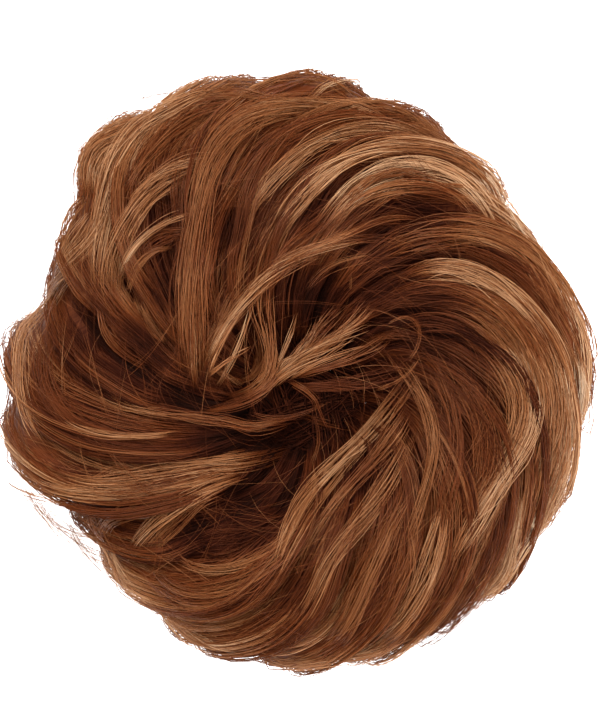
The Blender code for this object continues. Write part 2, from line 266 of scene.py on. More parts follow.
# Guides in, fibres out: copies of each guide, spread over its cross-section
def makeFibreTree():
    tree = bpy.data.node_groups.new("growFibres", "GeometryNodeTree")
    tree.is_modifier = True
    tree.interface.new_socket("Geometry", in_out="INPUT", socket_type="NodeSocketGeometry")
    for label, kind, value in fibreInputs:
        socket = tree.interface.new_socket(label, in_out="INPUT", socket_type=kind)
        if value is not None:
            socket.default_value = value
    tree.interface.new_socket("Geometry", in_out="OUTPUT", socket_type="NodeSocketGeometry")
    given = tree.nodes.new("NodeGroupInput").outputs

    def attribute(name, kind="FLOAT"):
        node = addNode(tree, "GeometryNodeInputNamedAttribute", {"Name": name}, data_type=kind)
        return node.outputs["Attribute"]

    def maths(operation, a, b=0.0):
        return addNode(tree, "ShaderNodeMath", {0: a, 1: b}, operation=operation).outputs[0]

    def product(first, *rest):
        for factor in rest:
            first = maths("MULTIPLY", first, factor)
        return first

    def total(first, *rest):
        for term in rest:
            first = maths("ADD", first, term)
        return first

    def scaled(vector, amount):
        node = addNode(tree, "ShaderNodeVectorMath", {0: vector, "Scale": amount},
                       operation="SCALE")
        return node.outputs[0]

    lines = addNode(tree, "GeometryNodeMeshToCurve", {"Mesh": given["Geometry"]})
    copies = addNode(tree, "GeometryNodeDuplicateElements",
                     {"Geometry": lines.outputs[0],
                      "Amount": product(given["Fibres"], attribute("density"))}, domain="SPLINE")
    index = tree.nodes.new("GeometryNodeInputIndex").outputs[0]
    fibre = addNode(tree, "GeometryNodeFieldOnDomain", {"Value": index}, domain="CURVE",
                    data_type="INT").outputs[0]

    def chance(step):  # from 0 to 1, the same all along a fibre
        node = addNode(tree, "FunctionNodeRandomValue",
                       {"ID": fibre, "Seed": total(given["Seed"], step)}, data_type="FLOAT")
        return node.outputs[1]

    def eitherWay(step):
        return maths("SUBTRACT", product(chance(step), 2.0), 1.0)

    # each fibre's own place in the strand's oval section, which turns and crosses slowly
    along = attribute("along")
    turn = product(total(chance(11.0), product(along, given["Twist"])), 2 * math.pi)
    spread = maths("SQRT", chance(23.0))
    crossing = product(eitherWay(29.0), given["Crossing"],
                       maths("SUBTRACT", product(along, 2.0), 1.0))
    high = product(maths("SINE", turn), spread)
    sideways = product(total(product(maths("COSINE", turn), spread), crossing),
                       attribute("spreadAcross"))
    outwards = product(high, attribute("spreadOut"))
    # and a slow wander, strong in a few of them
    seedLine = addNode(tree, "ShaderNodeCombineXYZ",
                       {0: product(along, given["Wander Scale"], attribute("loose")),
                        1: product(chance(31.0), 90.0),
                        2: product(chance(37.0), 90.0)}).outputs[0]
    drift = addNode(tree, "ShaderNodeTexNoise", {"Vector": seedLine, "Scale": 1.0, "Detail": 1.0})
    driftXyz = addNode(tree, "ShaderNodeSeparateXYZ", {0: drift.outputs["Color"]}).outputs
    strength = product(given["Wander"], attribute("loose"),
                       total(1.0, product(maths("POWER", chance(41.0), 6.0), 3.5)))
    sideways = total(sideways, product(maths("SUBTRACT", driftXyz[0], 0.5), strength, 2.0))
    outwards = total(outwards, product(maths("SUBTRACT", driftXyz[1], 0.5), strength))
    offset = addNode(tree, "ShaderNodeVectorMath",
                     {0: scaled(attribute("acrossDir", "FLOAT_VECTOR"), sideways),
                      1: scaled(attribute("outDir", "FLOAT_VECTOR"), outwards)}, operation="ADD")
    moved = addNode(tree, "GeometryNodeSetPosition", {"Geometry": copies.outputs[0],
                                                      "Offset": offset.outputs[0]})
    # nothing goes through the surface that the hairpiece lies on
    where = addNode(tree, "ShaderNodeSeparateXYZ",
                    {0: tree.nodes.new("GeometryNodeInputPosition").outputs[0]}).outputs
    above = addNode(tree, "ShaderNodeCombineXYZ",
                    {0: where[0], 1: where[1], 2: maths("MAXIMUM", where[2], 0.0003)})
    lifted = addNode(tree, "GeometryNodeSetPosition", {"Geometry": moved.outputs[0],
                                                       "Position": above.outputs[0]})
    # fibres on the outer side of a strand painted a little lighter as light, those underneath
    # darker as shade
    toneHere = total(attribute("tone"), product(eitherWay(61.0), given["Tone Spread"], 0.5),
                     product(high, 0.06))
    toned = addNode(tree, "GeometryNodeStoreNamedAttribute",
                    {"Geometry": lifted.outputs[0], "Name": "fibreTone",
                     "Value": maths("MINIMUM", maths("MAXIMUM", toneHere, 0.03), 0.97)},
                    data_type="FLOAT", domain="POINT")
    # no two fibres are as long, and their bends don't line up
    cut = addNode(tree, "GeometryNodeTrimCurve",
                  {0: toned.outputs[0], 2: product(chance(43.0), given["Ragged Start"]),
                   3: maths("SUBTRACT", 1.0, product(chance(47.0), given["Ragged End"]))})
    spaced = addNode(tree, "GeometryNodeResampleCurve", {"Curve": cut.outputs[0],
                                                         "Count": given["Points"]})
    factor = tree.nodes.new("GeometryNodeSplineParameter").outputs[0]
    tip = maths("MINIMUM", total(product(maths("SUBTRACT", 1.0, factor), 7.0), 0.25), 1.0)
    butt = maths("MINIMUM", total(product(factor, 9.0), 0.3), 1.0)
    thick = product(given["Fibre Radius"], tip, butt, total(0.7, product(chance(53.0), 0.6)))
    sized = addNode(tree, "GeometryNodeSetCurveRadius", {"Curve": spaced.outputs[0],
                                                         "Radius": thick})
    circle = addNode(tree, "GeometryNodeCurvePrimitiveCircle", {"Resolution": 3, "Radius": 1.0})
    profile = addNode(tree, "GeometryNodeStoreNamedAttribute",
                      {"Geometry": circle.outputs[0], "Name": "around",
                       "Value": product(index, 0.5)}, data_type="FLOAT", domain="POINT")
    tubes = addNode(tree, "GeometryNodeCurveToMesh",
                    {"Curve": sized.outputs[0], "Profile Curve": profile.outputs[0],
                     "Fill Caps": True})
    if "Scale" in tubes.inputs:
        tree.links.new(tree.nodes.new("GeometryNodeInputRadius").outputs[0], tubes.inputs["Scale"])
    band = total(product(attribute("fibreTone"), 0.97), product(attribute("around"), 0.012))
    place = addNode(tree, "ShaderNodeCombineXYZ", {0: along, 1: band}).outputs[0]
    mapped = addNode(tree, "GeometryNodeStoreNamedAttribute",
                     {"Geometry": tubes.outputs[0], "Name": "OFBake", "Value": place},
                     data_type="FLOAT2", domain="CORNER")
    real = addNode(tree, "GeometryNodeRealizeInstances", {"Geometry": mapped.outputs[0]})
    painted = addNode(tree, "GeometryNodeSetMaterial", {"Geometry": real.outputs[0],
                                                        "Material": given["Material"]})
    result = tree.nodes.new("NodeGroupOutput")
    tree.links.new(painted.outputs[0], result.inputs[0])
    return tree


hair = makeHairMaterial()
growFibres = makeFibreTree()
print("hair material and fibre tree are made")


pointNumbers = {"spreadAcross": mm, "spreadOut": mm, "along": 1.0, "tone": 1.0, "density": 1.0,
                "loose": 1.0}
pointVectors = {"acrossDir": "across", "outDir": "out"}


# Each guide is a list of points, with all lengths in millimetres
def guideMesh(name, guides):
    mesh = bpy.data.meshes.new(name)
    points, edges = [], []
    for guide in guides:
        first = len(points)
        points += guide
        edges += [(first + i, first + i + 1) for i in range(len(guide) - 1)]
    mesh.from_pydata([p["place"] * mm for p in points], edges, [])
    for key, scale in pointNumbers.items():
        layer = mesh.attributes.new(key, "FLOAT", "POINT")
        layer.data.foreach_set("value", [p[key] * scale for p in points])
    for key, source in pointVectors.items():
        layer = mesh.attributes.new(key, "FLOAT_VECTOR", "POINT")
        layer.data.foreach_set("vector", [c for p in points for c in p[source]])
    return mesh


# Runs the fibre tree on the guides and gives the result as a plain mesh object
def grow(name, guides, look, seed):
    mesh = guideMesh(name + "Guides", guides)
    carrier = bpy.data.objects.new(name + "Guides", mesh)
    bpy.context.scene.collection.objects.link(carrier)
    modifier = carrier.modifiers.new("growFibres", "NODES")
    modifier.node_group = growFibres
    values = {"Fibres": look["fibres"], "Points": look["points"],
              "Fibre Radius": look["fibreRadius"] * mm, "Twist": look["twist"],
              "Crossing": look["crossing"], "Wander": look["wander"] * mm,
              "Wander Scale": look["wanderScale"], "Ragged Start": look["raggedStart"],
              "Ragged End": look["raggedEnd"], "Tone Spread": look["toneSpread"],
              "Seed": seed, "Material": hair}
    for item in growFibres.interface.items_tree:
        if item.item_type == "SOCKET" and item.in_out == "INPUT" and item.name in values:
            modifier[item.identifier] = values[item.name]
    graph = bpy.context.evaluated_depsgraph_get()
    grown = bpy.data.meshes.new_from_object(carrier.evaluated_get(graph))
    carrier.modifiers.clear()
    bpy.data.objects.remove(carrier)
    bpy.data.meshes.remove(mesh)
    spare = [*pointNumbers, *pointVectors, "fibreTone", "around", "radius", "tilt"]
    for layer in [a.name for a in grown.attributes if a.name in spare]:
        grown.attributes.remove(grown.attributes[layer])
    grown.name = name
    obj = bpy.data.objects.new(name, grown)
    bpy.context.scene.collection.objects.link(obj)
    return obj


def triangleCount(obj):
    return sum(len(face.vertices) - 2 for face in obj.data.polygons)


def joined(main, extra):  # puts the extra object's mesh into the main one
    with bpy.context.temp_override(active_object=main, object=main,
                                   selected_objects=[main, extra],
                                   selected_editable_objects=[main, extra]):
        bpy.ops.object.join()
    return main


# A lock's fibres. Clumps fan out from the hole towards the rim, fine strands run across
# and over them, and both lie on a thin cover of fibres painted darker as shade, on a core
# painted dark as shade.
clumpLook = {
    "places": (-0.78, -0.30, 0.26, 0.76),
    "lifts": (-0.9, 0.5, -0.3, 0.9),
    "fibres": 31,
    "points": 20,
    "fibreRadius": 0.098,
    "twist": 0.25,
    "crossing": 0.35,
    "wander": 0.9,
    "wanderScale": 3.0,
    "raggedStart": 0.10,
    "raggedEnd": 0.16,
    "toneSpread": 0.12,
    "toneOfClump": 0.13,
    "wave": 1.3,
    "stations": (1.6, 9.4),
}
strandLook = {
    "strands": 5,
    "fibres": 11,
    "points": 20,
    "fibreRadius": 0.085,
    "twist": 0.4,
    "crossing": 0.7,
    "wander": 1.1,
    "wanderScale": 2.5,
    "raggedStart": 0.20,
    "raggedEnd": 0.25,
    "toneSpread": 0.13,
    "toneOfStrand": 0.15,
    "stray": 0.75,
    "wave": 1.2,
}
coverLook = {
    "fibres": 30,
    "points": 15,
    "fibreRadius": 0.125,
    "twist": 0.0,
    "crossing": 0.5,
    "wander": 1.2,
    "wanderScale": 3.0,
    "raggedStart": 0.05,
    "raggedEnd": 0.10,
    "toneSpread": 0.14,
    "places": (-0.68, 0.0, 0.68),
    "sink": 1.6,
    "fuller": 1.2,
    # painted shade: the cover lies under the clumps
    "paintedShade": 0.06,
    "stations": (1.2, 10.0),
}
# The core's tone is painted dark as shade, and lighter near the rim as painted light
coreLook = {"sink": 3.2, "fuller": 2.3, "inner": 3.8, "paintedRimLight": 0.34,
            "across": (-0.95, -0.7, -0.4, 0.0, 0.4, 0.7, 0.95)}


# Hollows between the locks, sunk and also painted darker as shade: a place in the
# photograph's pixels, its radius there, and how deep it is, from 0 to 1
picture = {"pixel": 0.25, "middleX": 297.0, "middleY": 371.0}
camera = {"height": 930.0, "rimHeight": 24.0, "pictureHeight": 175.75, "lookAt": (0.75, 4.9)}
hollowLook = {"depth": 6.0, "paintedShade": 0.34, "paintedShadeOnTop": 0.14}
hollows = {
    "under_arch": (428, 212, 50, 1.0),
    "under_arch_left": (372, 228, 36, 0.9),
    "over_hole": (310, 292, 42, 1.0),
    "crown_shade": (312, 216, 36, 0.6),
    "right_of_tuft": (434, 316, 56, 1.0),
    "right_shade": (404, 268, 34, 0.6),
    "right_middle": (478, 352, 34, 0.6),
    "left_hole": (142, 350, 48, 1.0),
    "left_shadow": (92, 326, 34, 0.8),
    "left_of_pinch": (168, 292, 30, 0.9),
    "inside_arch": (166, 222, 30, 0.6),
    "between_tops": (222, 228, 32, 0.8),
    "pinch_shadow": (186, 398, 40, 1.0),
    "below_pinch": (240, 414, 40, 1.0),
    "below_hole": (300, 420, 42, 1.0),
    "below_left": (262, 448, 38, 0.8),
    "below_right": (362, 476, 28, 0.8),
    "right_dark": (398, 404, 28, 0.7),
    "bottom_left": (242, 508, 50, 0.9),
    "bottom_left_low": (288, 506, 28, 0.7),
    "lower_left": (196, 532, 36, 1.0),
    "bottom_gap": (300, 592, 16, 0.6),
    "top_gap": (300, 92, 26, 0.5),
    "pinch_left_shade": (178, 256, 38, 0.5),
    "hollow_middle": (378, 296, 34, 0.8),
    "under_pinch": (216, 426, 40, 0.8),
    "bowl_shade": (300, 492, 30, 0.6),
    "bowl_dark": (258, 530, 36, 0.8),
    "between_bottoms": (376, 458, 24, 0.6),
}
# Where the outline itself steps in, in the same way
notches = {"depth": 6.0, "places": {"left_shoulder": (56, 198, 52, 1.0)}}


def nearness(place, x, y, radius):
    away = math.hypot(picture["middleX"] + place.x / picture["pixel"] - x,
                      picture["middleY"] - place.y / picture["pixel"] - y)
    return 1 - smoothStep(0.25, 1.0, away / radius)


# 0 away from every hollow, up to 1 in the middle of a deep one
def hollowAt(place):
    if place.z < ring["bandHeight"]:
        return 0.0
    return max(depth * nearness(place, x, y, radius) for x, y, radius, depth in hollows.values())


def notchAt(place):
    return max(depth * nearness(place, x, y, radius)
               for x, y, radius, depth in notches["places"].values())


def smoothStep(low, high, value):
    t = min(max((value - low) / (high - low), 0.0), 1.0)
    return t * t * (3 - 2 * t)


def guidePoint(sections, station, across, lift, spreadAcross, spreadOut, along, tone, density):
    here = lockPoint(sections, station, across, lift)
    hollow = hollowAt(here)
    lift -= hollowLook["depth"] * hollow * smoothStep(2.6, 3.6, station)
    lift -= ring["rimSink"] * smoothStep(5.4, 6.8, station) + notches["depth"] * notchAt(here)
    here = lockPoint(sections, station, across, lift)
    flow = (lockPoint(sections, station + 0.06, across, lift)
            - lockPoint(sections, station - 0.06, across, lift)).normalized()
    side = (lockPoint(sections, station, across + 0.05, lift)
            - lockPoint(sections, station, across - 0.05, lift))
    side -= flow * side.dot(flow)
    wide = side.length * 10
    side.normalize()
    out = flow.cross(side)
    if out.dot(lockPoint(sections, station, across, lift + 1.0) - here) < 0:
        out.negate()
    # Painted shade deep in the hole, on the underside, over the underlying lock and in its hollows,
    # less painted light where light comes round the rim
    shade = hairLook["shadeInHole"] * (1 - smoothStep(1.8, 3.9, station))
    shade += hairLook["shadeUnder"] * smoothStep(7.6, 9.0, station)
    shade -= hairLook["paintedRimLight"] * smoothStep(5.4, 6.6, station)
    shade += hairLook["underlayShade"] + hollowLook["paintedShade"] * hollow
    return {"place": here, "across": side, "out": out, "spreadAcross": spreadAcross * wide,
            "spreadOut": spreadOut, "along": along, "tone": tone - shade, "density": density,
            "loose": 1.0}


def alongLock(station):
    first, last = coverLook["stations"]
    return (station - first) / (last - first)


def stationRun(first, last, count=44):
    return [first + (last - first) * k / (count - 1) for k in range(count)]


def clumpGuides(name, dice):
    sections, lockTone = lockMap[name], locks[name][9]
    first, last = clumpLook["stations"]
    guides = []
    for place, lift in zip(clumpLook["places"], clumpLook["lifts"]):
        place += dice.uniform(-0.10, 0.10)
        lift += dice.uniform(-0.5, 0.5)
        endPlace = 1.08 * place + dice.uniform(-0.25, 0.25)
        phase, waves = dice.uniform(0, fullTurn), dice.uniform(0.5, 1.1)
        width = dice.uniform(0.75, 1.15)
        opens = dice.uniform(3.8, 4.8)
        tone = lockTone + dice.uniform(-1, 1) * clumpLook["toneOfClump"]
        guide = []
        for station in stationRun(first, last):
            along = (station - first) / (last - first)
            wave = math.sin(phase + waves * fullTurn * along)
            fan = smoothStep(2.4, opens, station)
            across = place * (0.62 + 0.38 * fan)
            across += (endPlace - place) * smoothStep(4.0, 7.0, station)
            across += 0.06 * wave * math.sin(math.pi * along)
            rise = lift + clumpLook["wave"] * wave * math.sin(math.pi * along)
            spread = width * (0.13 + 0.17 * fan)
            # higher clumps painted a little lighter and lower ones darker, as light and shade
            guide.append(guidePoint(sections, station, across, rise, spread, 1.5 - 0.5 * fan,
                                    alongLock(station), tone + 0.03 * lift, 1.0))
        guides.append(guide)
    return guides


def strandGuides(name, dice):
    sections, lockTone = lockMap[name], locks[name][9]
    guides = []
    for i in range(strandLook["strands"]):
        first, last = dice.uniform(1.8, 4.4), dice.uniform(5.4, 8.6)
        start = -0.95 + 1.9 * (i + 0.5) / strandLook["strands"]
        end = start + dice.uniform(-1, 1) * strandLook["stray"]
        phase, waves = dice.uniform(0, fullTurn), dice.uniform(0.4, 1.2)
        lift = dice.uniform(0.2, 1.5)
        width = dice.uniform(0.03, 0.13)
        tone = lockTone + 0.06 + dice.uniform(-1, 1) * strandLook["toneOfStrand"]
        guide = []
        for station in stationRun(first, last):
            along = (station - first) / (last - first)
            middle = math.sin(math.pi * along)
            wave = math.sin(phase + waves * fullTurn * along)
            across = start + (end - start) * along + 0.10 * wave * middle
            dip = 1 - smoothStep(0.0, 0.25, along) + smoothStep(0.75, 1.0, along)
            rise = lift + strandLook["wave"] * wave * middle - 2.6 * dip
            guide.append(guidePoint(sections, station, across, rise, width * (0.5 + 0.8 * middle),
                                    0.35 + 0.5 * middle, alongLock(station), tone,
                                    0.5 + 6.0 * width))
        guides.append(guide)
    return guides


def coverGuides(name):
    sections, tone = lockMap[name], locks[name][9] - coverLook["paintedShade"]
    return [[guidePoint(sections, station, across,
                        coverLook["fuller"] * smoothStep(4.8, 6.2, station) - coverLook["sink"],
                        0.34, 0.8, alongLock(station), tone, 1.0)
             for station in stationRun(*coverLook["stations"])]
            for across in coverLook["places"]]


# The body under the fibres, painted dark as shade and lighter towards the rim as painted
# light, a closed loft a little inside the frame's lock
def lockCore(name):
    sections = lockMap[name]
    acrossPlaces = coreLook["across"]
    path = [0.4 * k for k in range(28)]
    bm = bmesh.new()
    uvLayer = bm.loops.layers.uv.new("OFBake")
    loops, marks = [], []
    for station in path:
        loop = []
        mark = []
        for k, across in enumerate(acrossPlaces):
            sink = coreLook["sink"] - coreLook["fuller"] * smoothStep(4.8, 6.2, station)
            here = lockPoint(sections, station, across, 0.0)
            sink += hollowLook["depth"] * hollowAt(here) * smoothStep(2.6, 3.6, station)
            sink += notches["depth"] * notchAt(here)
            loop.append(bm.verts.new(lockPoint(sections, station, across, -sink) * mm))
            # painted light towards the rim, where light comes round it
            lighter = smoothStep(5.0, 6.2, station) - smoothStep(8.2, 9.2, station)
            mark.append((station / 11.0, 0.02 + 0.10 * k / 6 + coreLook["paintedRimLight"] * lighter))
        for k, across in enumerate((acrossPlaces[-1], acrossPlaces[0])):
            deep = lockPoint(sections, station, across, 0.0)
            middle = math.atan2(deep.y - ring["holeY"], deep.x - ring["holeX"])
            centre = Vector((ring["holeX"] + ring["bandRadius"] * math.cos(middle),
                             ring["holeY"] + ring["bandRadius"] * math.sin(middle),
                             ring["bandHeight"]))
            inner = centre + (deep - centre).normalized() * coreLook["inner"]
            loop.append(bm.verts.new(inner * mm))
            mark.append((station / 11.0, 0.03 + 0.02 * k))
        loops.append(loop)
        marks.append(mark)

    def face(corners):
        made = bm.faces.new([loops[i][j] for i, j in corners])
        made.smooth = True
        for corner, (i, j) in zip(made.loops, corners):
            corner[uvLayer].uv = marks[i][j]

    n = len(loops[0])
    for i in range(len(loops) - 1):
        for j in range(n):
            k = (j + 1) % n
            face([(i, j), (i, k), (i + 1, k), (i + 1, j)])
    face([(0, j) for j in range(n)])
    face([(len(loops) - 1, j) for j in reversed(range(n))])
    bmesh.ops.recalc_face_normals(bm, faces=bm.faces)
    mesh = bpy.data.meshes.new(name + "Core")
    bm.to_mesh(mesh)
    bm.free()
    mesh.materials.append(hair)
    core = bpy.data.objects.new(name + "Core", mesh)
    bpy.context.scene.collection.objects.link(core)
    return core


hairPieces = []
for number, name in enumerate(locks):
    dice = random.Random(100 + number)
    piece = grow("hair_" + name, clumpGuides(name, dice), clumpLook, 10 + number)
    joined(piece, grow("strands_" + name, strandGuides(name, dice), strandLook, 30 + number))
    joined(piece, grow("cover_" + name, coverGuides(name), coverLook, 50 + number))
    joined(piece, lockCore(name))
    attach(piece, "root")
    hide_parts("lock_" + name)
    hairPieces.append(piece)
print("locks:", len(hairPieces), "pieces,", sum(map(triangleCount, hairPieces)), "triangles")


# Short strands wander less than long ones, or they would look kinked
def flatGuide(spots, spreadAcross, spreadOut, tone, density):
    guide, last = [], len(spots) - 1
    length = sum((b - a).length for a, b in zip(spots, spots[1:]))
    for k, spot in enumerate(spots):
        flow = (spots[min(k + 1, last)] - spots[max(k - 1, 0)]).normalized()
        side = Vector((-flow.y, flow.x, 0.0)).normalized()
        out = flow.cross(side)
        guide.append({"place": spot, "across": side, "out": out if out.z > 0 else -out,
                      "spreadAcross": spreadAcross[k], "spreadOut": spreadOut[k],
                      "along": k / last, "tone": tone[k], "density": density,
                      "loose": min(length / 70.0, 1.0)})
    return guide
